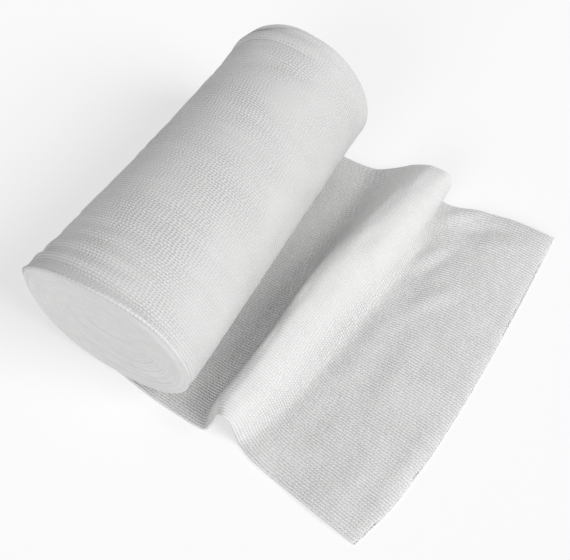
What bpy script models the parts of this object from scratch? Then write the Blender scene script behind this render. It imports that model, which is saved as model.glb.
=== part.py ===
"""A roll of tubular cotton stockinette with its loose end pulled out in front.

The knitted tube is pressed flat and wound on itself with no core. The roll lies on its own loose end,
which runs out from under it, rises in one tall fold beside it and then lies flat on the surface.

Lengths are in metres. While it is modelled, the roll's axis runs along +Y from the near end at y = 0,
the loose end runs out along +X and the surface below is z = 0. At the end both pieces are moved
so that the origin is the middle of the whole object's footprint.
"""

import math

import bmesh
import bpy
from mathutils import Vector

# Driving sizes of the cloth
TUBE_WIDTH = 0.200
SHEET_THICKNESS = 0.0020
SHEET_EDGE_THICKNESS = 0.0012
EDGE_BAND = 0.006
PIECE_GAP = 0.0003

# The last turn is the loose end's own layer, so the skin steps out by this much in one round
TURN_STEP = SHEET_THICKNESS + PIECE_GAP
LOOSE_START_X = -0.005
FLAT_HALF_WIDTH = 0.012
FLAT_FADE_DEPTH = 0.014

# Fineness of the meshes
AROUND = 64
ALONG_PER_ROW = 3
ACROSS = 24
SETTLE_HEIGHT = 0.0004

# The wound body at stations along the axis: y, reach to the left, reach to the right, half its height
ROLL_ROWS = (
    (0.010, 0.0542, 0.0519, 0.0485),
    (0.025, 0.0522, 0.0514, 0.0484),
    (0.060, 0.0492, 0.0500, 0.0481),
    (0.100, 0.0466, 0.0484, 0.0477),
    (0.140, 0.0446, 0.0468, 0.0473),
    (0.170, 0.0442, 0.0458, 0.0470),
    (0.190, 0.0448, 0.0453, 0.0468),
)

# Each end's rim from the skin inwards: depth below the skin, y, share of the last turn's drift
NEAR_RIM = (
    (0.0000, 0.0040, 1.0),
    (0.0005, 0.0016, 1.0),
    (0.0014, 0.0008, 1.0),
    (0.0022, 0.0018, 1.0),
    (0.0026, 0.0022, 0.0),
    (0.0034, 0.0008, 0.0),
    (0.0056, 0.0000, 0.0),
)
FAR_RIM = (
    (0.0000, 0.1940, 0.0),
    (0.0010, 0.1952, 0.0),
    (0.0012, 0.1990, 0.0),
    (0.0024, 0.2002, 0.0),
    (0.0030, 0.2035, 0.0),
    (0.0050, 0.2060, 0.0),
    (0.0062, 0.2068, 0.0),
)

# Each end's face inside the rim, drawn in a little towards the middle: depth below the skin, y
NEAR_FACE = (
    (0.0060, 0.0000),
    (0.0180, 0.0008),
    (0.0300, 0.0018),
    (0.0460, 0.0030),
)
FAR_FACE = (
    (0.0060, 0.2068),
    (0.0180, 0.2064),
    (0.0300, 0.2058),
    (0.0460, 0.2046),
)

# The main turns show on each face as one spiral groove
GROOVE_TURNS = 5
GROOVE_START = 0.0086
GROOVE_PITCH = 0.0074
GROOVE_HALF_WIDTH = 0.0009
GROOVE_SINK = 0.0010

# How far the last turn's near edge drifts along y as it goes round: share of the turn, drift
DRIFT_ROWS = (
    (0.00, 0.0004),
    (0.25, 0.0010),
    (0.50, 0.0030),
    (0.62, 0.0014),
    (0.75, -0.0012),
    (0.88, -0.0028),
    (1.00, -0.0034),
)

# The loose end's middle surface, one row for each fold line across it.
# Each row holds x and z, in millimetres, at the columns named below with their shares of the width
FOLD_COLUMNS = (
    ("near", 0.00),
    ("near_inner", 0.12),
    ("near_middle", 0.30),
    ("middle", 0.52),
    ("far_middle", 0.78),
    ("far", 1.00),
)
FOLD_ROWS = (
    ("start", (-4.4, 1.0), (-4.4, 1.0), (-4.4, 1.0), (-4.4, 1.0), (-4.4, 1.0), (-4.4, 1.0)),
    ("under", (24.0, 1.0), (24.0, 1.0), (24.0, 1.0), (24.0, 1.0), (24.0, 1.0), (22.0, 1.0)),
    ("valley", (49.0, 1.0), (48.5, 1.0), (48.0, 1.0), (47.0, 1.0), (45.0, 1.0), (42.0, 1.0)),
    ("left_foot", (59.5, 1.6), (58.0, 1.6), (58.5, 1.6), (58.0, 1.6), (57.0, 1.6), (56.0, 1.6)),
    ("rise_low", (63.5, 9.0), (60.5, 8.0), (62.5, 8.0), (62.0, 7.5), (64.5, 7.5), (66.5, 8.0)),
    ("rise_high", (66.3, 18.0), (62.0, 17.0), (64.0, 16.5), (65.0, 15.5), (70.0, 15.5), (75.0, 16.0)),
    ("crest_left", (68.3, 24.0), (65.5, 22.5), (67.5, 23.0), (70.0, 21.5), (77.0, 21.5), (83.0, 22.5)),
    ("crest", (71.0, 26.0), (71.5, 24.5), (74.5, 25.0), (78.0, 23.5), (85.5, 24.0), (92.0, 27.5)),
    ("shoulder", (73.8, 22.0), (79.0, 21.0), (82.5, 20.5), (86.0, 20.0), (94.0, 22.0), (101.0, 26.5)),
    ("slope", (75.6, 12.0), (84.0, 12.0), (88.0, 11.5), (92.0, 12.5), (100.0, 14.0), (104.5, 20.0)),
    ("slope_low", (77.5, 4.0), (87.5, 4.5), (92.0, 4.5), (97.0, 5.0), (103.0, 6.5), (103.0, 9.0)),
    ("right_foot", (81.5, 1.0), (91.0, 1.0), (96.5, 1.0), (102.0, 1.0), (106.5, 1.6), (100.5, 2.0)),
    ("flat_start", (92.0, 1.0), (100.0, 1.0), (105.0, 1.0), (111.0, 1.0), (115.0, 1.0), (111.0, 1.0)),
    ("trough", (112.0, 1.0), (116.0, 1.0), (120.0, 1.0), (124.0, 1.0), (128.0, 1.3), (128.0, 1.2)),
    ("swell", (135.0, 1.0), (139.0, 1.0), (142.0, 1.0), (145.0, 1.6), (146.0, 3.4), (148.0, 3.0)),
    ("cut_end", (159.5, 1.0), (166.8, 1.0), (171.6, 1.0), (173.6, 1.0), (173.4, 1.0), (171.8, 1.0)),
)

# Where each fold line starts and stops across the roll's width, in millimetres along y
FOLD_ENDS = {
    "start": (-2.8, 196.5),
    "under": (-3.6, 196.5),
    "valley": (-4.8, 196.5),
    "left_foot": (-4.5, 198.0),
    "rise_low": (-2.5, 199.5),
    "rise_high": (-1.0, 200.0),
    "crest_left": (-0.5, 200.0),
    "crest": (-0.5, 200.0),
    "shoulder": (0.0, 200.0),
    "slope": (0.5, 199.5),
    "slope_low": (0.0, 199.0),
    "right_foot": (-2.0, 198.0),
    "flat_start": (-5.8, 198.0),
    "trough": (-9.4, 202.5),
    "swell": (-13.2, 206.5),
    "cut_end": (-16.6, 209.0),
}
MILLIMETRE = 0.001

# Finish
COTTON_COLOUR = (0.78, 0.775, 0.755, 1.0)
COTTON_ROUGHNESS = 0.93


def clear_scene():
    """Remove what a new scene starts with."""
    for item in list(bpy.data.objects):
        bpy.data.objects.remove(item, do_unlink=True)


def cotton_material(name, shade):
    """A matt, off-white knitted cotton."""
    material = bpy.data.materials.new(name)
    material.use_nodes = True
    shader = material.node_tree.nodes["Principled BSDF"]
    shader.inputs["Base Color"].default_value = tuple(shade * c for c in COTTON_COLOUR[:3]) + (1.0,)
    shader.inputs["Roughness"].default_value = COTTON_ROUGHNESS
    shader.inputs["Metallic"].default_value = 0.0
    return material


def spline(knots, values, place):
    """Read a smooth curve through the values at the knots."""
    last = len(knots) - 1
    index = 0
    while index < last - 1 and place > knots[index + 1]:
        index += 1
    step = knots[index + 1] - knots[index]
    part = (place - knots[index]) / step
    slopes = []
    for knot in (index, index + 1):
        low = max(knot - 1, 0)
        high = min(knot + 1, last)
        slopes.append(step * (values[high] - values[low]) / (knots[high] - knots[low]))
    part_2 = part * part
    part_3 = part_2 * part
    return (
        (2.0 * part_3 - 3.0 * part_2 + 1.0) * values[index]
        + (part_3 - 2.0 * part_2 + part) * slopes[0]
        + (3.0 * part_2 - 2.0 * part_3) * values[index + 1]
        + (part_3 - part_2) * slopes[1]
    )


def table_at(rows, y):
    """Interpolate a table of rows whose first column is y."""
    if y <= rows[0][0]:
        return rows[0][1:]
    for low, high in zip(rows, rows[1:]):
        if y <= high[0]:
            share = (y - low[0]) / (high[0] - low[0])
            return tuple(a + (b - a) * share for a, b in zip(low[1:], high[1:]))
    return rows[-1][1:]


def skin_point(turn, y, depth):
    """A point on the wound body, a given depth below its skin.

    turn runs from 0, where the previous turn meets the loose end at the bottom, up the right side,
    over the top and down the left side to 1, where the last turn reaches the surface.
    """
    left, right, half_height = table_at(ROLL_ROWS, y)
    middle_x = 0.5 * (right - left)
    half_width = 0.5 * (right + left)
    seam = math.asin((LOOSE_START_X - middle_x) / half_width)
    angle = 2.0 * math.pi * turn - 0.5 * math.pi + seam
    growth = TURN_STEP * (turn - 0.5)
    wide = half_width + growth - depth
    high = half_height + growth - depth
    flat = FLAT_HALF_WIDTH / half_width
    sunk = half_height * (1.0 - math.sqrt(1.0 - flat * flat))
    centre_z = half_height + 0.5 * TURN_STEP - sunk
    below = TURN_STEP if turn < 0.5 else 0.0
    floor = below + depth - sunk * min(depth / FLAT_FADE_DEPTH, 1.0)
    return Vector((
        middle_x + wide * math.cos(angle),
        y,
        max(centre_z + high * math.sin(angle), floor),
    ))


def rim_ring(bm, y, depth, drift_share):
    """One closed ring of vertices round the skin or a rim."""
    points = []
    for step in range(AROUND + 1):
        turn = step / AROUND
        drift = drift_share * table_at(DRIFT_ROWS, turn)[0]
        points.append(bm.verts.new(skin_point(turn, y, depth) + Vector((0.0, drift, 0.0))))
    return points


def face_ring(bm, face_rows, depth, sink):
    """One ring of an end face, whose start meets the end of the next ring inwards."""
    points = []
    for step in range(AROUND + 1):
        turn = step / AROUND
        here = depth + (GROOVE_PITCH - TURN_STEP) * (1.0 - turn)
        y = table_at(face_rows, here)[0]
        points.append(bm.verts.new(skin_point(turn, y, here) + Vector((0.0, sink, 0.0))))
    return points


def face_rings(bm, face_rows, inward):
    """The rings of one end face from its rim to its middle, with a groove at each main turn."""
    rings = []
    for groove in range(GROOVE_TURNS):
        middle = GROOVE_START + groove * GROOVE_PITCH
        for offset, sink in ((-GROOVE_HALF_WIDTH, 0.0), (0.0, GROOVE_SINK), (GROOVE_HALF_WIDTH, 0.0)):
            rings.append(face_ring(bm, face_rows, middle + offset, inward * sink))
    return rings


def bridge(bm, first, second):
    """Join two closed rings with quads that face outwards when second is further along y."""
    count = len(first)
    for index in range(count):
        after = (index + 1) % count
        bm.faces.new((first[index], first[after], second[after], second[index]))


def finish_mesh(bm, name, material, smooth_angle):
    """Turn a bmesh into a shaded object."""
    bmesh.ops.recalc_face_normals(bm, faces=bm.faces)
    mesh = bpy.data.meshes.new(name)
    bm.to_mesh(mesh)
    bm.free()
    mesh.shade_smooth()
    mesh.set_sharp_from_angle(angle=math.radians(smooth_angle))
    mesh.materials.append(material)
    item = bpy.data.objects.new(name, mesh)
    bpy.context.scene.collection.objects.link(item)
    return item


def wound_roll():
    """The wound body as one solid, with its ends and its small flat spot."""
    bm = bmesh.new()
    rings = list(reversed(face_rings(bm, NEAR_FACE, 1.0)))
    rings += [rim_ring(bm, y, depth, share) for depth, y, share in reversed(NEAR_RIM)]
    rings += [rim_ring(bm, row[0], 0.0, 0.0) for row in ROLL_ROWS]
    rings += [rim_ring(bm, y, depth, share) for depth, y, share in FAR_RIM]
    rings += face_rings(bm, FAR_FACE, -1.0)
    for first, second in zip(rings, rings[1:]):
        bridge(bm, first, second)
    for end in (rings[0], rings[-1]):
        middle = bm.verts.new(sum((v.co for v in end), Vector()) / len(end))
        for index in range(len(end)):
            bm.faces.new((end[index], end[(index + 1) % len(end)], middle))
    return finish_mesh(bm, "wound_roll", cotton_material("cotton_wound", 1.0), 40.0)


def loose_grid():
    """The loose end's middle surface as rows of points."""
    steps = ALONG_PER_ROW * (len(FOLD_ROWS) - 1)
    fold_knots = list(range(len(FOLD_ROWS)))
    shares = [share for _, share in FOLD_COLUMNS]
    near_y = [FOLD_ENDS[row[0]][0] for row in FOLD_ROWS]
    far_y = [FOLD_ENDS[row[0]][1] for row in FOLD_ROWS]
    grid = []
    for step in range(steps + 1):
        along = step / ALONG_PER_ROW
        across_x = []
        across_z = []
        for column in range(1, len(FOLD_COLUMNS) + 1):
            across_x.append(spline(fold_knots, [row[column][0] for row in FOLD_ROWS], along))
            across_z.append(spline(fold_knots, [row[column][1] for row in FOLD_ROWS], along))
        start = spline(fold_knots, near_y, along)
        stop = spline(fold_knots, far_y, along)
        line = []
        for index in range(ACROSS + 1):
            share = across_share(index)
            x = spline(shares, across_x, share)
            z = spline(shares, across_z, share)
            line.append(MILLIMETRE * Vector((x, start + (stop - start) * share, z)))
        grid.append(line)
    return grid


def across_share(index):
    """Spread the columns across the sheet, with a narrow one along each edge."""
    band = EDGE_BAND / TUBE_WIDTH
    if index == 0:
        return 0.0
    if index == ACROSS:
        return 1.0
    return band + (1.0 - 2.0 * band) * (index - 1) / (ACROSS - 2)


def grid_normal(grid, row, column):
    """The middle surface's upward direction at a point of its grid."""
    along = grid[min(row + 1, len(grid) - 1)][column] - grid[max(row - 1, 0)][column]
    line = grid[row]
    across = line[min(column + 1, len(line) - 1)] - line[max(column - 1, 0)]
    return along.cross(across).normalized()


def settle(point):
    """Bring a point that all but touches the surface down flat on it."""
    if point.z < SETTLE_HEIGHT:
        point.z = 0.0
    return point


def loose_end():
    """The loose end as one sheet with rounded long edges."""
    grid = loose_grid()
    bm = bmesh.new()
    upper = []
    lower = []
    for row in range(len(grid)):
        upper_row = []
        lower_row = []
        for column in range(ACROSS + 1):
            edge = column in (0, ACROSS)
            half = 0.5 * (SHEET_EDGE_THICKNESS if edge else SHEET_THICKNESS)
            out = half * grid_normal(grid, row, column)
            middle = grid[row][column]
            upper_row.append(bm.verts.new(middle + out))
            lower_row.append(bm.verts.new(settle(middle - out)))
        upper.append(upper_row)
        lower.append(lower_row)
    for row in range(len(grid) - 1):
        for column in range(ACROSS):
            for layer in (upper, lower):
                bm.faces.new((
                    layer[row][column],
                    layer[row + 1][column],
                    layer[row + 1][column + 1],
                    layer[row][column + 1],
                ))
        for column in (0, ACROSS):
            bm.faces.new((
                upper[row][column],
                upper[row + 1][column],
                lower[row + 1][column],
                lower[row][column],
            ))
    for row in (0, len(grid) - 1):
        for column in range(ACROSS):
            bm.faces.new((
                upper[row][column],
                upper[row][column + 1],
                lower[row][column + 1],
                lower[row][column],
            ))
    return finish_mesh(bm, "loose_end", cotton_material("cotton_loose", 0.97), 40.0)


def centre_on_footprint(pieces):
    """Move every piece so that the middle of the whole footprint is at the origin."""
    points = [vertex.co for piece in pieces for vertex in piece.data.vertices]
    middle_x = 0.5 * (min(p.x for p in points) + max(p.x for p in points))
    middle_y = 0.5 * (min(p.y for p in points) + max(p.y for p in points))
    for piece in pieces:
        piece.location = (-middle_x, -middle_y, 0.0)


def main():
    """Build the roll and its loose end."""
    clear_scene()
    centre_on_footprint([wound_roll(), loose_end()])


main()
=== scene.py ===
"""A roll of tubular cotton stockinette with its loose end pulled out in front.

The knitted tube is pressed flat and wound on itself with no core. The roll lies on its own loose end,
which runs out from under it, rises in one tall fold beside it and then lies flat on the surface.

Shapes are worked out in the roll's own measures: its axis runs along +Y from the near end at y = 0,
the loose end runs out along +X and the surface below is z = 0. They are then moved into the frame.
Lengths are in metres, and a table in millimetres says so.
"""

from __future__ import annotations

import logging
import math
from dataclasses import dataclass
from enum import Enum
from typing import Sequence

import bpy
import numpy as np
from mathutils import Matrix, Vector

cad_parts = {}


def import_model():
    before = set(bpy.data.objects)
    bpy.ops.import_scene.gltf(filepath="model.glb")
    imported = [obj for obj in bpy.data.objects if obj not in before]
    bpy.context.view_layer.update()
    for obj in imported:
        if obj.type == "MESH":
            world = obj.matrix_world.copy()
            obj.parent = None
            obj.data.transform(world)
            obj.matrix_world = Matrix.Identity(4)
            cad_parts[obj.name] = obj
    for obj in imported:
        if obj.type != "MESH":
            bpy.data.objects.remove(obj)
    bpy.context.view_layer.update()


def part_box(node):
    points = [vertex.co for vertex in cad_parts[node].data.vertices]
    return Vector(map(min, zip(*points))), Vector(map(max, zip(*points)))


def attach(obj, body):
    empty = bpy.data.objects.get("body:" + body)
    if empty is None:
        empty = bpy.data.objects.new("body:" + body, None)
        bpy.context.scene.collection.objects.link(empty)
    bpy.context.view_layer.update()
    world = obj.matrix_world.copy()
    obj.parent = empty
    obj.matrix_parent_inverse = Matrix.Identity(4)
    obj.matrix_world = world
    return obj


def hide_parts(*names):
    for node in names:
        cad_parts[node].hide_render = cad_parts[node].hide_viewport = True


LOG = logging.getLogger("stockinette")
MM = 0.001
Socket = bpy.types.NodeSocket

# Driving sizes of the cloth
TUBE_WIDTH = 0.200
WALES_ACROSS = 131
COURSE_PITCH = 0.0022
COURSE_SKEW = 0.14
SHEET_THICKNESS = 0.0017
WALL_THICKNESS = 0.0005
TURN_STEP = 0.0020
INNER_PITCH = 0.00098

# Places of a piece's finishes: the cloth's face, then its folded or cut edges
CLOTH = 0
EDGE = 1

# How finely a crease's line is read, and how its height rises from each end: where it starts, its power
CREASE_STEPS = 24
CREASE_END = 0.04
CREASE_FULLNESS = 0.6

# Where the loose end's first edge and near cut corner are in the roll's own measures
LOOSE_START_X = -0.0044
NEAR_CORNER_Y = -0.0166

# The wound body at stations along the axis: y, reach to the left, reach to the right, half its height
ROLL_ROWS = (
    (0.010, 0.0542, 0.0519, 0.0485),
    (0.025, 0.0522, 0.0514, 0.0484),
    (0.060, 0.0492, 0.0500, 0.0481),
    (0.100, 0.0466, 0.0484, 0.0477),
    (0.140, 0.0446, 0.0468, 0.0473),
    (0.170, 0.0442, 0.0458, 0.0470),
    (0.190, 0.0448, 0.0453, 0.0468),
)
SEAM_X = -0.005
FLAT_HALF_WIDTH = 0.012
FLAT_FADE_DEPTH = 0.014

# How far each turn's edge reaches out of its end of the roll, in millimetres, by turns counted back
# from the last one: 1 is where the last turn leaves the roll, 0 is one full turn before that
NEAR_REACH = (
    (-4.00, 0.0),
    (-3.00, 0.0),
    (-2.62, -0.2),
    (-2.45, 0.2),
    (-2.25, -0.4),
    (-2.00, 0.1),
    (-1.80, -0.1),
    (-1.62, -0.6),
    (-1.45, 0.4),
    (-1.25, -0.9),
    (-1.00, 0.3),
    (-0.80, 0.0),
    (-0.62, -0.9),
    (-0.45, 0.9),
    (-0.25, -1.4),
    (0.00, 0.4),
    (0.20, 0.0),
    (0.38, -1.0),
    (0.45, 0.2),
    (0.50, 1.4),
    (0.56, 1.9),
    (0.64, 1.2),
    (0.75, -1.9),
    (0.85, -0.6),
    (0.92, 0.2),
    (1.00, -0.4),
)
FAR_REACH = (
    (-8.00, 0.0),
    (-5.00, -0.8),
    (-3.00, -1.4),
    (-2.50, -1.8),
    (-2.00, -1.7),
    (-1.70, -1.9),
    (-1.50, -1.3),
    (-1.38, -2.0),
    (-1.20, -2.2),
    (-1.00, -1.7),
    (-0.70, -1.7),
    (-0.55, -1.5),
    (-0.45, -0.4),
    (-0.38, -1.6),
    (-0.25, -2.4),
    (0.00, -1.6),
    (0.30, -1.6),
    (0.45, -1.4),
    (0.52, -2.8),
    (0.56, -4.8),
    (0.62, -6.4),
    (0.75, -5.8),
    (1.00, -4.0),
)

# How far each end's face draws in below the rim, in millimetres by depth in millimetres
NEAR_INSET = ((0.0, 0.0), (6.0, 0.0), (18.0, 0.8), (30.0, 1.8), (46.0, 3.0))
FAR_INSET = ((0.0, 0.0), (6.0, 0.0), (18.0, 0.4), (30.0, 1.0), (46.0, 2.2))

# How far the rim flares out at the near end, in millimetres by turn, and how soon that is gone along the axis
NEAR_FLARE = (
    (0.00, -0.6),
    (0.29, -0.8),
    (0.34, -0.2),
    (0.40, 1.0),
    (0.47, 2.1),
    (0.53, 2.5),
    (0.60, 2.3),
    (0.68, 1.0),
    (0.75, 0.0),
    (1.00, 0.0),
)
FLARE_LENGTH = 0.0028

# How round the rim is at each end, in millimetres by turn
NEAR_ROUNDING = (
    (0.00, 1.6),
    (0.30, 2.2),
    (0.38, 2.4),
    (0.45, 1.8),
    (0.54, 0.8),
    (0.80, 0.6),
    (1.00, 0.6),
)
FAR_ROUNDING = ((0.00, 0.6), (1.00, 0.6))

# The gentle wobble of turns that aren't quite round: its height in millimetres, the middle, reach and
# phase of its place in the noise as it goes round, and the depth in millimetres after which it changes
RING_WOBBLE = (
    ("broad", 0.9, 2.0, 1.6, 0.25, 7.0),
    ("fine", 0.5, 9.0, 3.1, 0.00, 4.0),
)

# The skin's small unevenness: seed, height, share of it away from the left side,
# and how far its swells are apart round the roll and along it. Lengths are in millimetres
SKIN_WAVES = (
    ("wrinkles", 31, 0.42, 0.25, 30.0, 4.6),
    ("swells", 32, 0.45, 0.30, 60.0, 15.0),
)

# Soft ridges and troughs of the roll's skin: turn and y in millimetres at each end,
# half width and height in millimetres
SKIN_CREASES = (
    ("rim_trough", (0.32, 5.6), (0.69, 4.8), 2.7, -1.70),
    ("rim_ridge", (0.47, 9.8), (0.70, 9.4), 2.2, 0.75),
    ("second_trough", (0.46, 15.0), (0.72, 13.6), 2.0, -0.95),
    ("second_ridge", (0.43, 20.8), (0.68, 18.6), 2.6, 0.80),
    ("third_trough", (0.50, 26.8), (0.70, 23.6), 2.4, -0.80),
    ("third_ridge", (0.46, 31.4), (0.64, 28.8), 3.0, 0.50),
    ("fourth_trough", (0.48, 37.6), (0.66, 34.4), 2.6, -0.50),
    ("near_hollow", (0.42, 50.0), (0.60, 48.0), 3.5, -0.30),
    ("middle_swell", (0.40, 73.0), (0.64, 70.0), 5.0, 0.25),
    ("far_hollow", (0.48, 185.0), (0.72, 184.2), 1.3, -1.50),
    ("far_lip", (0.40, 189.6), (0.72, 189.0), 2.4, 0.80),
    ("far_rim_hollow", (0.48, 194.6), (0.72, 194.2), 1.2, -1.20),
    ("far_wrinkle", (0.50, 172.0), (0.70, 170.0), 2.2, -0.45),
    ("far_swell", (0.46, 160.0), (0.68, 157.0), 4.0, 0.35),
)

# The loose end's middle surface, one row for each fold line across it.
# Each row holds x and z, in millimetres, at the columns named below with their shares of the width
FOLD_COLUMNS = (
    ("near", 0.00),
    ("near_lip", 0.05),
    ("near_inner", 0.14),
    ("near_middle", 0.30),
    ("middle", 0.52),
    ("far_middle", 0.78),
    ("far", 1.00),
)
FOLD_ROWS = (
    ("start", (-5.4, 1.1), (-5.4, 1.1), (-5.4, 1.1), (-5.4, 1.1), (-5.4, 1.1), (-5.4, 1.1), (-5.4, 1.1)),
    ("under", (24.0, 1.0), (24.0, 1.0), (24.0, 1.0), (24.0, 1.0), (24.0, 1.0), (24.0, 1.0), (22.0, 1.0)),
    ("valley", (49.0, 1.0), (48.8, 1.0), (48.4, 1.0), (48.0, 1.1), (47.0, 1.1), (45.0, 1.0), (42.0, 1.0)),
    ("left_foot", (59.5, 1.6), (56.6, 1.8), (57.6, 1.9), (58.5, 2.0), (58.0, 2.0), (57.0, 1.8), (56.0, 1.6)),
    ("rise_low", (63.5, 9.0), (58.6, 8.0), (60.4, 8.0), (62.3, 8.0), (62.0, 7.5), (64.5, 7.5), (66.5, 8.0)),
    (
        "rise_high",
        (66.0, 16.5), (60.8, 15.5), (62.4, 15.5), (64.4, 15.2),
        (64.4, 13.8), (69.5, 14.0), (74.0, 14.5),
    ),
    (
        "brow_low",
        (67.0, 21.0), (62.4, 19.8), (63.6, 19.6), (65.4, 19.4),
        (65.3, 17.8), (72.2, 17.6), (77.5, 18.2),
    ),
    (
        "brow",
        (67.9, 23.8), (63.6, 22.8), (64.6, 22.6), (66.0, 22.4),
        (66.2, 20.6), (74.6, 20.4), (81.0, 21.2),
    ),
    (
        "crest_left",
        (69.0, 25.4), (65.4, 24.8), (66.4, 24.6), (67.9, 24.6),
        (68.6, 22.8), (77.6, 23.0), (85.5, 24.4),
    ),
    (
        "crest",
        (71.4, 26.0), (69.0, 25.5), (70.6, 25.5), (72.8, 25.7),
        (75.6, 24.4), (84.6, 24.8), (93.0, 27.8),
    ),
    (
        "shoulder",
        (73.8, 22.0), (75.6, 21.8), (78.8, 21.2), (81.4, 20.8),
        (84.8, 20.6), (93.2, 22.2), (101.0, 26.5),
    ),
    (
        "slope",
        (75.6, 12.0), (79.8, 12.0), (84.8, 12.0), (88.0, 11.5),
        (92.0, 12.5), (100.0, 14.0), (104.5, 20.0),
    ),
    (
        "slope_low",
        (77.5, 4.0), (82.5, 4.2), (88.2, 4.5), (92.0, 4.5),
        (97.0, 5.0), (103.0, 6.5), (103.0, 9.0),
    ),
    (
        "right_foot",
        (81.5, 1.0), (86.0, 1.0), (91.8, 1.0), (96.5, 1.0),
        (102.0, 1.0), (106.5, 1.6), (100.5, 2.0),
    ),
    (
        "flat_start",
        (92.0, 1.0), (95.5, 1.0), (100.8, 1.0), (105.0, 1.0),
        (111.0, 1.0), (115.0, 1.0), (111.0, 1.0),
    ),
    (
        "trough",
        (112.0, 1.2), (113.8, 1.3), (116.4, 1.6), (120.0, 2.2),
        (124.0, 2.5), (128.0, 2.8), (128.0, 2.0),
    ),
    (
        "swell",
        (135.0, 2.2), (137.0, 3.0), (139.4, 3.2), (142.0, 3.2),
        (145.0, 3.2), (146.0, 3.8), (148.0, 3.2),
    ),
    (
        "cut_end",
        (159.5, 1.0), (162.8, 1.0), (167.5, 1.0), (171.6, 1.0),
        (173.6, 1.0), (173.4, 1.0), (171.8, 1.0),
    ),
)
FOLD_ENDS = {
    "start": (0.4, 196.5),
    "under": (-3.4, 196.5),
    "valley": (-4.8, 196.5),
    "left_foot": (-4.5, 198.0),
    "rise_low": (-2.5, 199.5),
    "rise_high": (-1.0, 200.0),
    "brow_low": (-0.8, 200.0),
    "brow": (-0.6, 200.0),
    "crest_left": (-0.5, 200.0),
    "crest": (-0.5, 200.0),
    "shoulder": (0.0, 200.0),
    "slope": (0.5, 199.5),
    "slope_low": (0.0, 199.0),
    "right_foot": (-2.0, 198.0),
    "flat_start": (-5.8, 198.0),
    "trough": (-9.4, 202.5),
    "swell": (-13.2, 206.5),
    "cut_end": (-16.6, 209.0),
}

# Soft ridges and troughs of the flat part, given in plan. All in millimetres:
# x and y at the start, the middle and the end, half width, height
FLAT_CREASES = (
    ("far_corner_ridge", (108.0, 184.0), (118.0, 193.0), (131.0, 204.0), 4.5, 2.0),
    ("far_corner_hollow", (122.0, 180.0), (135.0, 190.0), (152.0, 197.0), 4.0, -1.2),
    ("far_rise", (136.0, 180.0), (146.0, 183.0), (158.0, 188.0), 5.0, 1.0),
    ("slanting_ridge", (97.0, 134.0), (108.0, 149.0), (119.0, 166.0), 4.5, 1.8),
    ("slanting_hollow", (113.0, 140.0), (121.0, 153.0), (126.0, 168.0), 4.0, -1.0),
    ("middle_step", (120.0, 116.0), (129.0, 130.0), (139.0, 143.0), 5.5, 1.5),
    ("left_swell", (112.0, 58.0), (112.0, 88.0), (115.0, 116.0), 6.0, 0.9),
    ("right_swell", (133.0, 52.0), (133.0, 84.0), (134.0, 112.0), 6.5, 0.9),
    ("end_swell", (160.0, 2.0), (163.0, 32.0), (166.0, 64.0), 6.0, 0.9),
    ("near_swell", (112.0, 8.0), (120.0, 26.0), (124.0, 48.0), 7.0, 0.8),
    ("near_corner_swell", (140.0, -4.0), (143.0, 14.0), (146.0, 34.0), 6.0, 0.8),
)

# The flat part's small unevenness: seed, height, and how far its swells are apart along x and y.
# Lengths are in millimetres
FLAT_WAVES = (
    ("broad", 41, 0.16, 13.0, 20.0),
    ("fine", 42, 0.07, 5.0, 7.0),
)

# Colours of the pulled-out cloth: the roll's own knit painted lighter, a painted brightening of the cloth
# that lies out flat. Then the yarn colour of the folded edges at the roll's ends
LAID_OUT_LIGHT = (0.950, 0.950, 0.946)
LAID_OUT_DARK = (0.690, 0.690, 0.687)
FOLDED_LIGHT = (0.800, 0.800, 0.797)

# Camera, at the photograph's viewing angle
FRAME_PIXELS = (570, 560)
SENSOR_WIDTH_MM = 36.0
FOCAL_PIXELS = 1000.0
CAMERA_TARGET = Vector((0.04798, 0.0998, 0.0))
CAMERA_AZIMUTH = 31.24
CAMERA_ELEVATION = 59.87
CAMERA_DISTANCE = 0.59218

# Large soft lights: azimuth and elevation in degrees, strength, angle that each fills in degrees
SOFT_LIGHTS = (
    ("light_from_the_right", 96.0, 38.0, 1.96, 35.0),
    ("light_from_the_front", 0.0, 28.0, 0.76, 35.0),
)


def spline_weights(knots: Sequence[float], places: np.ndarray) -> np.ndarray:
    """Weigh the values at the knots for a smooth curve read at each place.

    Args:
        knots: Places of the known values, in rising order.
        places: Where the curve is read.

    Returns:
        One row for each place and one column for each knot.
    """
    knot_places = np.asarray(knots, float)
    read = np.clip(np.asarray(places, float), knot_places[0], knot_places[-1])
    last = len(knot_places) - 1
    index = np.clip(np.searchsorted(knot_places, read, side="right") - 1, 0, last - 1)
    step = knot_places[index + 1] - knot_places[index]
    part = (read - knot_places[index]) / step
    row = np.arange(len(read))
    weights = np.zeros((len(read), last + 1))
    np.add.at(weights, (row, index), 2.0 * part**3 - 3.0 * part**2 + 1.0)
    np.add.at(weights, (row, index + 1), 3.0 * part**2 - 2.0 * part**3)
    for knot, share in ((index, part**3 - 2.0 * part**2 + part), (index + 1, part**3 - part**2)):
        low = np.maximum(knot - 1, 0)
        high = np.minimum(knot + 1, last)
        slope = share * step / (knot_places[high] - knot_places[low])
        np.add.at(weights, (row, high), slope)
        np.add.at(weights, (row, low), -slope)
    return weights


def read_table(rows: Sequence[Sequence[float]], places: np.ndarray) -> np.ndarray:
    """Read a table smoothly at places of any shape.

    Args:
        rows: Rows whose first value is the place and whose others are read.
        places: Where to read, an array of any shape.

    Returns:
        An array of the places' shape, with one more axis where a row has several values.
    """
    table = np.asarray(rows, float)
    flat = np.asarray(places, float).ravel()
    values = spline_weights(table[:, 0], flat) @ table[:, 1:]
    if table.shape[1] == 2:
        return values[:, 0].reshape(np.shape(places))
    return values.reshape(np.shape(places) + (table.shape[1] - 1,))


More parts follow.
